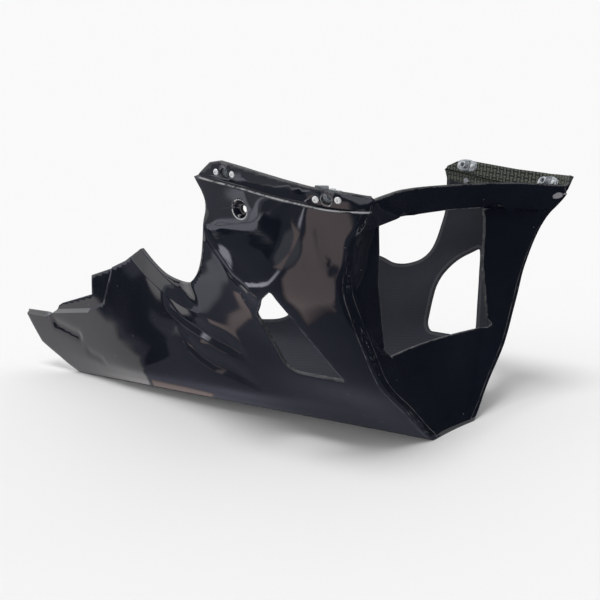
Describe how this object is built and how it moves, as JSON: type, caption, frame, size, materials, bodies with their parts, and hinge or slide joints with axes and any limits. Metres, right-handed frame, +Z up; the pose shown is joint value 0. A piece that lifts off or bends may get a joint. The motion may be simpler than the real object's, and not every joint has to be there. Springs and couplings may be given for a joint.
{
  "type": "motorcycle belly pan",
  "caption": "Glossy black laminate belly pan with a wheel-clearance front mouth, side windows, joggled bolt flanges and a long open tail.",
  "frame": {"origin": "middle of the box's bottom, on the floor", "axes": "+X forward to the mouth, +Y to the rider's left, +Z up"},
  "size_m": [0.7088, 0.3754, 0.2626],
  "materials": {
    "laminate": "gloss",
    "plated_steel": "satin",
    "rivet_alloy": "satin"
  },
  "bodies": {
    "root": {"pan_shell": "laminate", "nutplate_right_rear": "plated_steel", "nutplate_right_front": "plated_steel", "nutplate_left_rear": "plated_steel", "nutplate_left_front": "plated_steel", "captive_nuts": "plated_steel", "flange_rivets": "rivet_alloy"}
  },
  "joints": []
}
